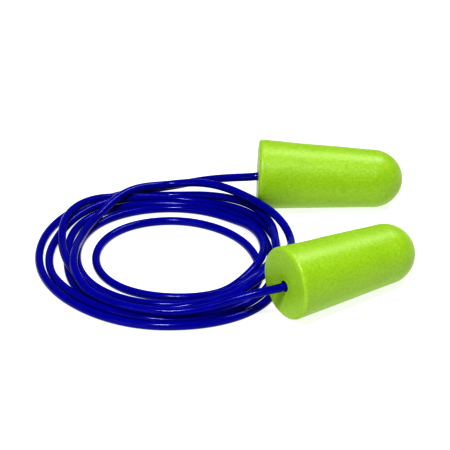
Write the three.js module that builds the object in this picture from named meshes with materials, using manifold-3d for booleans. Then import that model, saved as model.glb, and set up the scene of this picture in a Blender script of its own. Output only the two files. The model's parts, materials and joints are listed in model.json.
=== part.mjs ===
// Corded foam ear plugs: two tapered foam plugs on the ends of one limp plastic cord, which lies wound
// in a flat round coil beside them. Millimetres, +Z up, everything stands on the plane z = 0, and the
// origin is on that plane, midway between the outer limits of the two plugs.
import * as THREE from 'three';
import { mergeVertices } from 'three/addons/utils/BufferGeometryUtils.js';
import Module from 'manifold-3d';

const wasm = await Module();
wasm.setup();

// Foam plug: a blunt bullet that tapers from a flat base to a domed tip.
const PLUG_LENGTH = 26;
const BASE_RADIUS = 6.25;
const SHOULDER_RADIUS = 5.2;
const DOME_LENGTH = 5.7;
const BASE_ROUNDING = 0.35;
const DOME_STEPS = 7;
const PLUG_SIDES = 32;

// Cord, and the blind hole that holds each end of it a little below the plug's centre line.
const CORD_RADIUS = 0.725;
const CORD_SIDES = 8;
const HOLE_RADIUS = 1.05;
const HOLE_DEPTH = 9;
const HOLE_DROP = 0.45;
const HOLE_SIDES = 12;
const GAP = 0.32;
const BOND_LENGTH = 0.9;
const CUT_OVERRUN = 1;

// Where each plug lies: its base centre on the ground plan, and the way its tip points, in degrees.
const PLUGS = {
  front: { x: -9.25, y: -19.55, yaw: 33 },
  back: { x: -13, y: 18.35, yaw: 0 },
};

// The cord's way from each plug's hole to the coil, point by point.
const LEADS = {
  front: [
    [-9.64, -19.81, 5.8], [-10.7, -20.2, 5.78], [-12.5, -20.65, 5.62], [-15, -21, 5.15],
    [-17.5, -21.3, 4.5], [-20, -21.6, 3.75], [-22.4, -21.8, 3.1], [-24.9, -21.85, 2.6],
  ],
  back: [
    [-13.46, 18.35, 5.8], [-14.7, 18.4, 5.77], [-16.2, 18.9, 5.4], [-17.8, 19.9, 4.7],
    [-19.5, 21.1, 3.9], [-21.5, 22.2, 3.1], [-23.5, 22.8, 2.5], [-25.3, 22.95, 2.05],
    [-27.1, 22.8, 1.75],
  ],
};
const LEAD_STEP = 2.5 * CORD_RADIUS;

// Outer shape of the coil: a low ring, a little deeper than wide, with a sloping outside.
const COIL_CENTRE = [-30.1, -0.85];
const COIL_HALF_WIDTH = 21.9;
const COIL_HALF_DEPTH = 23.6;
const COIL_HEIGHT = 2.7;
const COIL_SIDES = 64;
// Its section, as fractions of the outer half-width and of the height.
const COIL_SECTION = [
  [0.54, 0], [0.985, 0], [1, 0.13], [0.985, 0.3], [0.93, 0.56], [0.87, 1], [0.6, 1], [0.54, 0.55], [0.54, 0],
];

const FOAM = { color: '#8fcb06', roughness: 0.9, metalness: 0 };
const CORD = { color: '#0b10b4', roughness: 0.28, metalness: 0 };
const ADHESIVE = { color: '#e8e4cf', roughness: 0.4, metalness: 0 };

const taper = Math.atan2(BASE_RADIUS - SHOULDER_RADIUS, PLUG_LENGTH - DOME_LENGTH - BASE_ROUNDING);
const baseHeight = BASE_RADIUS * Math.cos(taper) + BASE_ROUNDING * Math.sin(taper);
const parts = new THREE.Group();

function namedMesh(name, geometry, finish) {
  const mesh = new THREE.Mesh(geometry, new THREE.MeshStandardMaterial(finish));
  mesh.name = name;
  return mesh;
}

// A solid and a geometry, each made from the other.
function toSolid(geometry) {
  const bare = geometry.clone();
  bare.deleteAttribute('normal');
  bare.deleteAttribute('uv');
  const merged = mergeVertices(bare);
  const vertProperties = new Float32Array(merged.attributes.position.array);
  const triVerts = new Uint32Array(merged.index.array);
  return new wasm.Manifold(new wasm.Mesh({ numProp: 3, vertProperties, triVerts }));
}

function toGeometry(solid) {
  const mesh = solid.getMesh();
  const geometry = new THREE.BufferGeometry();
  geometry.setAttribute('position', new THREE.BufferAttribute(mesh.vertProperties, 3));
  geometry.setIndex(new THREE.BufferAttribute(mesh.triVerts, 1));
  geometry.computeVertexNormals();
  return geometry;
}

// A round bar along +X that starts at `start`, HOLE_DROP below the plug's centre line.
function barAlongX(radius, start, length, sides) {
  const bar = new THREE.CylinderGeometry(radius, radius, length, sides);
  bar.rotateZ(-Math.PI / 2);
  bar.translate(start + length / 2, 0, -HOLE_DROP);
  return bar;
}

// The foam body along +X, base at x = 0, with the hole that the cord's end sits in.
function foamGeometry() {
  const profile = [new THREE.Vector2(0, 0)];
  profile.push(new THREE.Vector2(BASE_RADIUS - BASE_ROUNDING, 0));
  profile.push(new THREE.Vector2(BASE_RADIUS, BASE_ROUNDING));
  const domeStart = PLUG_LENGTH - DOME_LENGTH;
  for (let i = 0; i < DOME_STEPS; i += 1) {
    const angle = (i / DOME_STEPS) * (Math.PI / 2);
    const radius = SHOULDER_RADIUS * Math.cos(angle);
    profile.push(new THREE.Vector2(radius, domeStart + DOME_LENGTH * Math.sin(angle)));
  }
  profile.push(new THREE.Vector2(0, PLUG_LENGTH));
  const body = new THREE.LatheGeometry(profile, PLUG_SIDES);
  body.rotateZ(-Math.PI / 2);
  const cutter = barAlongX(HOLE_RADIUS, -CUT_OVERRUN, HOLE_DEPTH + CUT_OVERRUN, HOLE_SIDES);
  return toGeometry(toSolid(body).subtract(toSolid(cutter)));
}

// One plug with the end of the cord and the bead of adhesive inside it, lying on its side.
function addPlug(side) {
  const { x, y, yaw } = PLUGS[side];
  const plug = new THREE.Group();
  plug.rotation.set(0, taper, THREE.MathUtils.degToRad(yaw), 'ZYX');
  plug.position.set(x, y, baseHeight);
  const bondStart = HOLE_DEPTH - GAP - BOND_LENGTH;
  const cordLength = bondStart - GAP;
  plug.add(namedMesh(`plug_${side}_foam`, foamGeometry(), FOAM));
  plug.add(namedMesh(`cord_end_${side}`, barAlongX(CORD_RADIUS, 0, cordLength, CORD_SIDES), CORD));
  plug.add(namedMesh(`bond_${side}`, barAlongX(CORD_RADIUS, bondStart, BOND_LENGTH, CORD_SIDES), ADHESIVE));
  parts.add(plug);
}

// The cord between a plug and the coil, as a plain tube along its points.
function leadGeometry(points) {
  const route = new THREE.CatmullRomCurve3(points.map((p) => new THREE.Vector3(...p)));
  const section = new THREE.Shape();
  for (let i = 0; i < CORD_SIDES; i += 1) {
    const angle = (i / CORD_SIDES) * 2 * Math.PI;
    const corner = [CORD_RADIUS * Math.cos(angle), CORD_RADIUS * Math.sin(angle)];
    if (i === 0) section.moveTo(...corner);
    else section.lineTo(...corner);
  }
  section.closePath();
  const steps = Math.ceil(route.getLength() / LEAD_STEP);
  return new THREE.ExtrudeGeometry(section, { steps, extrudePath: route, bevelEnabled: false });
}

function coilGeometry() {
  const profile = COIL_SECTION.map(([r, h]) => new THREE.Vector2(r * COIL_HALF_WIDTH, h * COIL_HEIGHT));
  const ring = new THREE.LatheGeometry(profile, COIL_SIDES);
  ring.rotateX(Math.PI / 2);
  ring.scale(1, COIL_HALF_DEPTH / COIL_HALF_WIDTH, 1);
  return ring;
}

for (const side of Object.keys(PLUGS)) {
  addPlug(side);
  parts.add(namedMesh(`cord_lead_${side}`, leadGeometry(LEADS[side]), CORD));
}
const coil = namedMesh('cord_coil', coilGeometry(), CORD);
coil.position.set(...COIL_CENTRE, 0);
parts.add(coil);

export default parts;
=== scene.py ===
"""Corded foam ear plugs: two tapered foam plugs joined by one limp, glossy cord wound in a flat coil.

Everything is in metres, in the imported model's own frame: +Z up, the plugs and the coil on z = 0.
"""
import json
import math

import bpy
import numpy as np
from mathutils import Matrix, Vector, noise


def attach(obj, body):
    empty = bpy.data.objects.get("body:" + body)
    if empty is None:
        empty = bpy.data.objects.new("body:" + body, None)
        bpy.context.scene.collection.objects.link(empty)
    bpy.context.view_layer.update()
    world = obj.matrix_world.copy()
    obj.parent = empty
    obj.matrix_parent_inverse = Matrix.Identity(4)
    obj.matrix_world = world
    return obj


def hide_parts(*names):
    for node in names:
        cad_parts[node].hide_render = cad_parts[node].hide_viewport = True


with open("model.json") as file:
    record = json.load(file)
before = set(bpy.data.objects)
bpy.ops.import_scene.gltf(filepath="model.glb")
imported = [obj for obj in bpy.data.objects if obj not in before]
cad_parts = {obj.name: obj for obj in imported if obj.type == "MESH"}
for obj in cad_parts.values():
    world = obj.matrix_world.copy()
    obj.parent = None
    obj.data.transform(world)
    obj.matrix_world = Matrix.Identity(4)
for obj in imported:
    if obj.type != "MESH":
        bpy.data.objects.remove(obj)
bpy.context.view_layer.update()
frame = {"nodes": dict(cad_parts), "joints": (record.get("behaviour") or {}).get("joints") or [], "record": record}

MM = 0.001
SIDES = ("front", "back")

# Foam plug: a blunt bullet, flat at the base and domed at the tip.
PLUG_LENGTH = 26 * MM
BASE_RADIUS = 6.25 * MM
SHOULDER_RADIUS = 5.2 * MM
DOME_LENGTH = 5.7 * MM
DOME_SWELL = 0.012
TIP_RADIUS = 0.06 * MM
EDGE_RADIUS = 0.6 * MM
PLUG_SIDES = 144

# The blind hole in its base, which is narrowest at the mouth. The base dips a little around the mouth.
HOLE_DROP = 0.45 * MM
HOLE_DEPTH = 9 * MM
HOLE_RADIUS = 1.15 * MM
MOUTH_RADIUS = 0.91 * MM
MOUTH_DEPTH = 0.9 * MM
LIP = 0.14 * MM
LIP_ROUNDING = 0.05 * MM
DIMPLE_DEPTH = 0.10 * MM
DIMPLE_WIDTH = 0.8 * MM

# Unevenness of the skin, as waves per metre and height, and the radius where it sets in on the base.
WAVES = ((170, 0.05 * MM), (520, 0.016 * MM))
WAVES_FROM = 1.4 * MM

# Cord. Its free length goes a little way into each hole and meets the end that the plug holds.
CORD = 1.45 * MM
RADIUS = CORD / 2
INTO_HOLE = 0.3 * MM
END_FROM = INTO_HOLE + CORD
END_TO = 7 * MM
END_POINTS = 12

# The cord's way from each plug's hole to the coil, in millimetres.
LEAD_FRONT = (
    (-9.64, -19.81, 5.8), (-10.7, -20.2, 5.78), (-12.5, -20.65, 5.62), (-15, -21, 5.15),
    (-17.5, -21.3, 4.5), (-20, -21.6, 3.75), (-22.4, -21.8, 3.1), (-24.9, -21.85, 2.6),
)
LEAD_BACK = (
    (-13.46, 18.35, 5.8), (-14.7, 18.4, 5.77), (-16.2, 18.9, 5.4), (-17.8, 19.9, 4.7),
    (-19.5, 21.1, 3.9), (-21.5, 22.2, 3.1), (-23.5, 22.8, 2.5), (-25.3, 22.95, 2.05),
    (-27.1, 22.8, 1.75),
)

# How far in millimetres the coil's turns reach from its middle, at every eighth of a turn clockwise from
# the side where the front lead comes in. One row is one turn, from the one on top to the one at the bottom.
MIDDLE = np.array((-29.0, -0.8)) * MM
HEADINGS = 8
TURNS = (
    (21.0, 19.2, 15.8, 17.2, 22.3, 20.0, 21.5, 19.8),
    (18.2, 17.3, 18.1, 21.8, 21.4, 20.9, 18.7, 21.8),
    (21.2, 20.6, 20.6, 20.5, 19.8, 20.0, 18.9, 17.2),
    (16.1, 15.8, 15.8, 16.9, 16.7, 16.8, 16.7, 15.7),
    (13.6, 12.9, 12.5, 12.5, 12.2, 12.8, 15.1, 19.1),
    (19.7, 18.9, 17.4, 19.6, 18.3, 18.6, 17.9, 22.9),
    (22.7, 21.9, 22.4, 23.5, 23.2),
)
TYPICAL_REACH = 20 * MM
COIL_STEP = 1.2 * MM
# How many of the coil's last points give way to the lead that follows them.
COIL_CUT = 3

# Spacing of the points along the finished route.
STEP = 0.6 * MM
# Heights of the coil where the leads join it, and how far along it they take to come down to the floor.
FRONT_START = 2.1 * MM
BACK_START = 1.75 * MM
SETTLE = 12 * MM
# Centre lines stay this many diameters apart where the cord crosses itself. Stretches nearer than NEARBY
# along the cord don't count as crossing, and nothing lies on the last points, which rise to the plug.
CLEARANCE = 1.02
NEARBY = 12 * MM
RISING_POINTS = 26
# A hump over a crossing is an arc of this radius, followed this far each way. Lifting one turn lifts those
# on top of it, so the heights are worked out in several passes.
HUMP = 22 * MM
HUMP_REACH = 12 * MM
PASSES = 14
# Where the top turn leans on the back plug's base, its height there, and the radius of its long rise. The
# place is in the first sixth of the cord.
PERCH = np.array((-14.2, 14.0)) * MM
PERCH_HEIGHT = 4.3 * MM
PERCH_HUMP = 75 * MM
PERCH_WITHIN = 6

# The camera looks along +Y and down, from 0.4 m away.
CAMERA_PLACE = (-0.019, -0.35276, 0.2106)
CAMERA_DOWN = 30.07
CAMERA_ROLL = -0.55
SENSOR_WIDTH = 36
LENS = 188.6

WHITE = (1, 1, 1, 1)
WORLD_STRENGTH = 0.2
FLOOR_GLOW = 0.58
FLOOR_HALF = 3.0


# ---------------------------------------------------------------- camera

def add_camera():
    data = bpy.data.cameras.new("camera")
    data.sensor_width = SENSOR_WIDTH
    data.lens = LENS
    camera = bpy.data.objects.new("camera", data)
    tilt, roll = math.radians(90 - CAMERA_DOWN), math.radians(CAMERA_ROLL)
    place = Matrix.Translation(CAMERA_PLACE)
    camera.matrix_world = place @ Matrix.Rotation(tilt, 4, "X") @ Matrix.Rotation(roll, 4, "Z")
    bpy.context.scene.collection.objects.link(camera)
    bpy.context.scene.camera = camera


# ---------------------------------------------------------------- the cord's route

def through(points, spacing, pieces=16):
    """Points every `spacing` along a smooth curve through the given ones, worked out on so many short
    pieces between each two of them."""
    p = np.asarray(points, float)
    p = np.vstack((2 * p[0] - p[1], p, 2 * p[-1] - p[-2]))
    fine = []
    for a, b, c, d in zip(p, p[1:], p[2:], p[3:]):
        t = np.linspace(0, 1, pieces, endpoint=False)[:, None]
        square = (2 * a - 5 * b + 4 * c - d) * t**2
        cube = (3 * b - a - 3 * c + d) * t**3
        fine.append(0.5 * (2 * b + (c - a) * t + square + cube))
    fine = np.vstack(fine + [p[-2:-1]])
    along = distances(fine)
    at = np.linspace(0, along[-1], round(along[-1] / spacing) + 1)
    return np.stack([np.interp(at, along, fine[:, k]) for k in range(fine.shape[1])], 1)


def distances(points):
    """How far along the line each of its points lies."""
    return np.concatenate(([0], np.cumsum(np.linalg.norm(np.diff(points, axis=0), axis=1))))


def smooth(values, width):
    """The values along a line, evened out over about `width` of them."""
    pad = 3 * width
    kernel = np.exp(-0.5 * (np.arange(-pad, pad + 1) / width) ** 2)
    kernel /= kernel.sum()
    if values.ndim == 1:
        longer = np.concatenate((np.full(pad, values[0]), values, np.full(pad, values[-1])))
        return np.convolve(longer, kernel, "valid")
    return np.stack([smooth(values[:, i], width) for i in range(values.shape[1])], 1)


def coil_turns():
    """The coil's turns, all on the floor, worked out from how far each one reaches."""
    reach = np.concatenate(TURNS) * MM
    angle = -np.pi / 2 - np.arange(len(reach)) * 2 * np.pi / HEADINGS
    polar = through(np.stack([reach, angle * TYPICAL_REACH], 1), COIL_STEP)
    r, a = polar[:, 0], polar[:, 1] / TYPICAL_REACH
    plan = MIDDLE + r[:, None] * np.stack((np.cos(a), np.sin(a)), 1)
    return np.column_stack((plan, np.full(len(plan), RADIUS)))


def let_down(points, start):
    """Brings the coil's first stretch down from the height of the lead that joins it there."""
    left = np.clip(1 - distances(points[:, :2]) / SETTLE, 0, 1) ** 2
    points[:, 2] = np.maximum(points[:, 2], RADIUS + (start - RADIUS) * left)


def cord_plan():
    """Both leads and the coil between them as one line, before the turns are laid on each other."""
    front = np.array(LEAD_FRONT) * MM
    back = np.array(LEAD_BACK[::-1]) * MM
    coil = coil_turns()
    let_down(coil, FRONT_START)
    let_down(coil[::-1], BACK_START)
    return smooth(through(np.vstack((front, coil[:-COIL_CUT], back)), STEP), 2)


def cord_route():
    """The whole cord from the front plug to the back one. Each turn lies on the later turns that it
    crosses, and comes up and goes down again in a long low hump."""
    points = cord_plan()
    plan, low = points[:, :2], points[:, 2]
    count = len(points)
    perch = min(range(count // PERCH_WITHIN), key=lambda i: np.linalg.norm(plan[i] - PERCH))
    from_perch = (np.arange(count) - perch) * STEP
    low = np.maximum(low, PERCH_HEIGHT - from_perch**2 / (2 * PERCH_HUMP))
    apart = np.linalg.norm(plan[:, None] - plan[None], axis=2)
    upper, lower = np.nonzero(apart < CORD * CLEARANCE)
    keep = (lower - upper > NEARBY / STEP) & (lower < count - RISING_POINTS)
    upper, lower = upper[keep], lower[keep]
    rise = np.sqrt((CORD * CLEARANCE) ** 2 - apart[upper, lower] ** 2)
    reach = round(HUMP_REACH / STEP)
    fall = (np.arange(-reach, reach + 1) * STEP) ** 2 / (2 * HUMP)
    height = low
    for _ in range(PASSES):
        need = np.full(count, RADIUS)
        np.maximum.at(need, upper, height[lower] + rise)
        padded = np.pad(need, reach)
        humps = np.max([padded[k:k + count] - fall[k] for k in range(2 * reach + 1)], axis=0)
        height = np.maximum(smooth(np.maximum(humps, low), 3), RADIUS)
    return np.column_stack((plan, height))


# ---------------------------------------------------------------- meshes

def new_piece(name, verts, faces, material):
    """A smooth-shaded object with its mesh in the frame's own coordinates."""
    mesh = bpy.data.meshes.new(name)
    mesh.from_pydata([tuple(v) for v in verts], [], faces)
    mesh.materials.append(material)
    mesh.polygons.foreach_set("use_smooth", [True] * len(mesh.polygons))
    mesh.update()
    piece = bpy.data.objects.new(name, mesh)
    bpy.context.scene.collection.objects.link(piece)
    return piece


def ring_faces(rings, sides):
    """Quads between rings of `sides` points each, and a cap on the first and the last."""
    faces = []
    for i in range(rings - 1):
        for j in range(sides):
            k = (j + 1) % sides
            a, b = i * sides, (i + 1) * sides
            faces.append((a + j, a + k, b + k, b + j))
    faces.append(tuple(reversed(range(sides))))
    faces.append(tuple(range((rings - 1) * sides, rings * sides)))
    return faces


def tube(name, path, material, sides=16):
    """A round tube along the path with rounded ends. Its attribute "straight" says where each point
    would be if the cord were pulled straight, which its material uses."""
    along = distances(path)
    way = np.gradient(path, axis=0)
    way /= np.linalg.norm(way, axis=1)[:, None]
    side = np.cross(way[0], (0.0, 0.0, 1.0))
    # The rings that round off an end: how far past the path's last point, and radius, narrowest first.
    angles = [math.radians(a) for a in (12, 40, 68)]
    round_off = [(RADIUS * math.cos(a), RADIUS * math.sin(a)) for a in angles]
    rings = []
    for i, point in enumerate(path):
        side = side - way[i] * side.dot(way[i])
        side /= np.linalg.norm(side)
        here = [(0.0, RADIUS)]
        if i == 0:
            here = [(-past, r) for past, r in round_off] + here
        if i == len(path) - 1:
            here += reversed(round_off)
        for shift, r in here:
            rings.append((point + way[i] * shift, r, along[i] + shift, side, np.cross(way[i], side)))
    verts, straight = [], []
    for centre, r, x, right, up in rings:
        for j in range(sides):
            t = 2 * math.pi * j / sides
            verts.append(centre + r * (math.cos(t) * right + math.sin(t) * up))
            straight.append((x, r * math.cos(t), r * math.sin(t)))
    piece = new_piece(name, verts, ring_faces(len(rings), sides), material)
    place = piece.data.attributes.new("straight", "FLOAT_VECTOR", "POINT")
    place.data.foreach_set("vector", np.array(straight, np.float32).ravel())
    return piece


def plug_frame(side):
    """A matrix with its origin at the mouth of the plug's hole, and x along the plug towards its tip."""
    mounts = {m["name"]: m for m in frame["record"]["mounts"]}
    joints = {j["name"]: j for j in frame["joints"]}
    along = -Vector(mounts[f"{side}_plug_base"]["axis"]).normalized()
    across = Vector((0, 0, 1)).cross(along).normalized()
    turn = Matrix((along, across, along.cross(across))).transposed().to_4x4()
    return Matrix.Translation(joints[f"{side}_plug_swing"]["pos_m"]) @ turn


def shares(steps):
    """The fractions from one step to the whole."""
    return [k / steps for k in range(1, steps + 1)]


def plug_rings():
    """(x, radius, how far the ring's centre has moved from the hole's line to the plug's) from the
    bottom of the hole, out over the base and along the outside to the tip."""
    rings = [(HOLE_DEPTH, HOLE_RADIUS, 0)]
    for t in shares(6):
        rings.append((HOLE_DEPTH + (MOUTH_DEPTH - HOLE_DEPTH) * t, HOLE_RADIUS, 0))
    for t in shares(8):
        a = math.pi / 2 * t
        depth = MOUTH_DEPTH * (1 - math.sin(a)) + LIP_ROUNDING
        rings.append((depth, MOUTH_RADIUS + (HOLE_RADIUS - MOUTH_RADIUS) * math.cos(a), 0))
    lip = MOUTH_RADIUS + LIP
    rings.append((0.0, lip, 0.02))
    flat = BASE_RADIUS - EDGE_RADIUS
    for t in shares(24):
        radius = lip + (flat - lip) * t
        dimple = DIMPLE_DEPTH * math.exp(-(((radius - lip) / DIMPLE_WIDTH) ** 2))
        rings.append((dimple, radius, t * t * (3 - 2 * t)))
    shoulder = PLUG_LENGTH - DOME_LENGTH
    taper = math.atan2(BASE_RADIUS - SHOULDER_RADIUS, shoulder)
    for t in shares(7):
        a = (math.pi / 2 - taper) * t
        rings.append((EDGE_RADIUS * (1 - math.cos(a)), flat + EDGE_RADIUS * math.sin(a), 1))
    for t in shares(60):
        x = EDGE_RADIUS + (shoulder - EDGE_RADIUS) * t
        rings.append((x, BASE_RADIUS + (SHOULDER_RADIUS - BASE_RADIUS) * x / shoulder, 1))
    for t in shares(30)[:-1]:
        a = math.pi / 2 * t
        swell = 1 + DOME_SWELL * math.sin(2 * a)
        x = PLUG_LENGTH - DOME_LENGTH * (1 - math.sin(a))
        rings.append((x, SHOULDER_RADIUS * math.cos(a) * swell, 1))
    rings.append((PLUG_LENGTH, TIP_RADIUS, 1))
    return rings


def foam_plug(side, material):
    """One plug: a turned form with a soft base edge, a puckered mouth and a slightly uneven skin, which
    is flat where it would dip below the floor."""
    place = plug_frame(side)
    seed = Vector((7.0 * SIDES.index(side), 3.0, 1.0))
    rings = plug_rings()
    verts = []
    for x, radius, moved in rings:
        for j in range(PLUG_SIDES):
            t = 2 * math.pi * j / PLUG_SIDES
            y, z = radius * math.cos(t), radius * math.sin(t)
            p = Vector((x, y, z + HOLE_DROP * moved))
            if radius > WAVES_FROM:
                swell = sum(noise.noise(p * waves + seed) * height for waves, height in WAVES)
                out = Vector((-0.5 if moved < 1 else 0.0, math.cos(t), math.sin(t)))
                p += out * swell * min(1.0, (radius - WAVES_FROM) / MM)
            p = place @ p
            verts.append((p.x, p.y, max(p.z, 0.0)))
    piece = new_piece(f"foam_plug_{side}", verts, ring_faces(len(rings), PLUG_SIDES), material)
    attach(piece, f"plug_{side}")
    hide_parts(f"plug_{side}_foam")


def cord_end(side, material):
    """The last stretch of the cord, inside the plug, from just behind the mouth to the adhesive."""
    place = plug_frame(side)
    path = np.array([place @ Vector((x, 0, 0)) for x in np.linspace(END_FROM, END_TO, END_POINTS)])
    piece = tube(f"cord_end_in_{side}_plug", path, material)
    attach(piece, f"plug_{side}")
    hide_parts(f"cord_end_{side}")


def add_cord(material):
    """The cord itself, from just inside one plug to just inside the other."""
    first, last = [np.array(plug_frame(side) @ Vector((INTO_HOLE, 0, 0))) for side in SIDES]
    path = through(np.vstack((first, cord_route(), last)), STEP)
    piece = tube("cord", path, material)
    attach(piece, "cord")
    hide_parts("cord_coil", "cord_lead_front", "cord_lead_back")


# ---------------------------------------------------------------- materials

class Nodes:
    """A short way to build a material's node tree. Scales are in waves or cells per metre."""

    def __init__(self, name):
        self.material = bpy.data.materials.new(name)
        self.material.use_nodes = True
        self.tree = self.material.node_tree
        self.tree.nodes.clear()
        self.shader = self.add("ShaderNodeBsdfPrincipled")
        output = self.add("ShaderNodeOutputMaterial")
        self.link(self.shader.outputs["BSDF"], output.inputs["Surface"])

    def add(self, kind, inputs=None, **settings):
        """A new node. An input that is given a socket is linked to it, and others hold their value."""
        node = self.tree.nodes.new(kind)
        for key, value in settings.items():
            setattr(node, key, value)
        for key, value in (inputs or {}).items():
            if isinstance(value, bpy.types.NodeSocket):
                self.link(value, node.inputs[key])
            else:
                node.inputs[key].default_value = value
        return node

    def link(self, a, b):
        self.tree.links.new(a, b)

    def set(self, **values):
        """Gives inputs of the shader a uniform value."""
        for key, value in values.items():
            self.shader.inputs[key.replace("_", " ")].default_value = value

    def noise(self, place, scale, detail=3.0, roughness=0.55):
        inputs = {"Vector": place, "Scale": scale, "Detail": detail, "Roughness": roughness}
        return self.add("ShaderNodeTexNoise", inputs).outputs["Fac"]

    def cells(self, place, scale):
        inputs = {"Vector": place, "Scale": scale}
        return self.add("ShaderNodeTexVoronoi", inputs).outputs["Distance"]

    def spread(self, value, low, high, to_low=0.0, to_high=1.0):
        inputs = {"Value": value, "From Min": low, "From Max": high, "To Min": to_low, "To Max": to_high}
        return self.add("ShaderNodeMapRange", inputs).outputs["Result"]

    def mix(self, factor, a, b):
        return self.add("ShaderNodeMix", {0: factor, 6: a, 7: b}, data_type="RGBA").outputs[2]

    def total(self, a, b):
        return self.add("ShaderNodeMath", {0: a, 1: b}, operation="ADD").outputs[0]

    def bump(self, height, distance, strength, below=None):
        inputs = {"Height": height, "Distance": distance, "Strength": strength}
        if below is not None:
            inputs["Normal"] = below
        return self.add("ShaderNodeBump", inputs).outputs["Normal"]


def foam_material():
    """Slow-recovery polyurethane foam: a matt lime skin of fine cells, with pinholes that are darkened by painted
    shade.
    """
    n = Nodes("lime_foam")
    lime, light_lime = (0.26, 0.45, 0.0, 1), (0.285, 0.49, 0.0, 1)
    # The darkest of these colours is painted shade for the pinholes.
    dark_grain, pale_grain, pinhole_shade = (0.12, 0.30, 0.0, 1), (0.6, 0.9, 0.2, 1), (0.07, 0.19, 0.0, 1)
    place = n.add("ShaderNodeTexCoord").outputs["Object"]
    patches = n.spread(n.noise(place, 160, 3), 0.3, 0.7)
    grain = n.spread(n.noise(place, 2600, 2, 0.6), 0.25, 0.75)
    cell_walls = n.spread(n.cells(place, 2300.0), 0.15, 0.75)
    pinholes = n.spread(n.cells(place, 1500.0), 0.05, 0.14)
    body = n.mix(patches, lime, light_lime)
    speckled = n.mix(grain, n.mix(0.25, body, dark_grain), n.mix(0.14, body, pale_grain))
    # Painted shade: the pinholes are mixed towards a dark lime, as if shade fell into them.
    colour = n.mix(pinholes, n.mix(0.25, speckled, pinhole_shade), speckled)
    n.link(colour, n.shader.inputs["Base Color"])
    n.link(n.spread(grain, 0, 1, 0.33, 0.45), n.shader.inputs["Roughness"])
    skin = n.bump(n.noise(place, 420, 2), 0.05 * MM, 0.4)
    celled = n.bump(cell_walls, 0.035 * MM, 0.25, skin)
    grained = n.bump(grain, 0.03 * MM, 0.42, celled)
    pitted = n.bump(pinholes, 0.05 * MM, 0.35, grained)
    n.link(pitted, n.shader.inputs["Normal"])
    n.set(Subsurface_Weight=0.1, Subsurface_Scale=0.0012, Subsurface_Radius=(0.8, 1.0, 0.2))
    n.set(Specular_IOR_Level=0.5, IOR=1.47)
    return n.material


def cord_material():
    """Extruded soft plastic: deep blue and glossy, with faint lines along it and a few dull patches."""
    n = Nodes("blue_cord")
    blue, light_blue = (0.0, 0.0, 0.20, 1), (0.0, 0.0, 0.28, 1)
    line_blue, scuff_blue = (0.0, 0.0, 0.12, 1), (0.2, 0.22, 0.6, 1)
    place = n.add("ShaderNodeAttribute", attribute_name="straight").outputs["Vector"]
    drawn_out = n.add("ShaderNodeMapping", {"Vector": place, "Scale": (0.03, 1.0, 1.0)}).outputs["Vector"]
    lines = n.noise(drawn_out, 5200, 3)
    slow = n.noise(place, 210, 3)
    scuffs = n.spread(n.noise(place, 900, 4, 0.65), 0.6, 0.75)
    tint = n.mix(n.spread(slow, 0.3, 0.7), blue, light_blue)
    lined = n.mix(n.spread(lines, 0.35, 0.65), tint, n.mix(0.12, tint, line_blue))
    colour = n.mix(scuffs, lined, n.mix(0.03, lined, scuff_blue))
    n.link(colour, n.shader.inputs["Base Color"])
    dullness = n.total(n.spread(slow, 0.3, 0.7, 0.10, 0.18), n.spread(scuffs, 0, 1, 0.0, 0.08))
    n.link(dullness, n.shader.inputs["Roughness"])
    ridged = n.bump(lines, 0.006 * MM, 0.35)
    waved = n.bump(slow, 0.05 * MM, 0.15, ridged)
    n.link(waved, n.shader.inputs["Normal"])
    n.set(Specular_IOR_Level=0.5, IOR=1.22)
    return n.material


def adhesive_material():
    """A bead of cream-coloured adhesive, waxy and a little cloudy."""
    n = Nodes("adhesive")
    cream, pale_cream = (0.62, 0.58, 0.44, 1), (0.8, 0.77, 0.66, 1)
    place = n.add("ShaderNodeTexCoord").outputs["Object"]
    cloud = n.spread(n.noise(place, 1500, 4), 0.3, 0.7)
    n.link(n.mix(cloud, cream, pale_cream), n.shader.inputs["Base Color"])
    n.link(n.spread(cloud, 0, 1, 0.3, 0.5), n.shader.inputs["Roughness"])
    n.link(n.bump(n.noise(place, 3000, 3), 0.02 * MM, 0.5), n.shader.inputs["Normal"])
    n.set(Subsurface_Weight=0.2, Subsurface_Scale=0.001)
    return n.material


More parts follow.
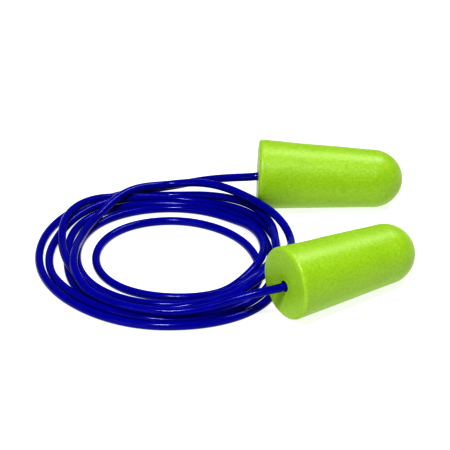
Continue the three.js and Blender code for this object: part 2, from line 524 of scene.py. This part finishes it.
def floor_material():
    """Seamless white paper with a barely visible tooth."""
    n = Nodes("white_paper")
    grey, light_grey = (0.30, 0.30, 0.30, 1), (0.34, 0.34, 0.34, 1)
    place = n.add("ShaderNodeTexCoord").outputs["Object"]
    tooth = n.noise(place, 1800, 3)
    n.link(n.mix(tooth, grey, light_grey), n.shader.inputs["Base Color"])
    n.link(n.bump(tooth, 0.01 * MM, 0.2), n.shader.inputs["Normal"])
    n.set(Roughness=0.95, Specular_IOR_Level=0.1, Emission_Color=WHITE, Emission_Strength=FLOOR_GLOW)
    return n.material


# ---------------------------------------------------------------- floor and light

def add_floor():
    half = FLOOR_HALF
    corners = ((-half, -half, 0), (half, -half, 0), (half, half, 0), (-half, half, 0))
    new_piece("floor", corners, [(0, 1, 2, 3)], floor_material())


def area_light(name, place, aim, size, power):
    """A rectangular light of the given size in metres and power in watts, which faces the point `aim`."""
    data = bpy.data.lights.new(name, "AREA")
    data.shape = "RECTANGLE"
    data.size, data.size_y = size
    data.energy = power
    light = bpy.data.objects.new(name, data)
    light.location = place
    light.rotation_mode = "QUATERNION"
    light.rotation_quaternion = (Vector(place) - Vector(aim)).to_track_quat("Z", "Y")
    bpy.context.scene.collection.objects.link(light)


def add_light():
    """A small hard light high in front, a broad one high behind on the plugs' side, a weak low one in
    front on the coil's side, and an even white surround."""
    world = bpy.data.worlds.new("studio")
    bpy.context.scene.world = world
    world.use_nodes = True
    background = world.node_tree.nodes["Background"]
    background.inputs["Color"].default_value = WHITE
    background.inputs["Strength"].default_value = WORLD_STRENGTH
    area_light("key", place=(-0.09, -0.27, 0.53), aim=(-0.02, 0, 0), size=(0.08, 0.10), power=2.4)
    area_light("side", place=(0.19, 0.23, 0.53), aim=(0, 0, 0), size=(0.24, 0.24), power=1.5)
    area_light("fill", place=(-0.3, -0.4, 0.14), aim=(0, 0, 0), size=(0.3, 0.2), power=0.35)
    bpy.context.scene.view_settings.view_transform = "Standard"
    bpy.context.scene.view_settings.look = "High Contrast"


# ---------------------------------------------------------------- the whole scene

def main():
    add_camera()
    cord = cord_material()
    foam = foam_material()
    add_cord(cord)
    adhesive = adhesive_material()
    for side in SIDES:
        foam_plug(side, foam)
        cord_end(side, cord)
        bead = frame["nodes"][f"bond_{side}"]
        bead.data.materials.clear()
        bead.data.materials.append(adhesive)
    add_floor()
    add_light()


main()
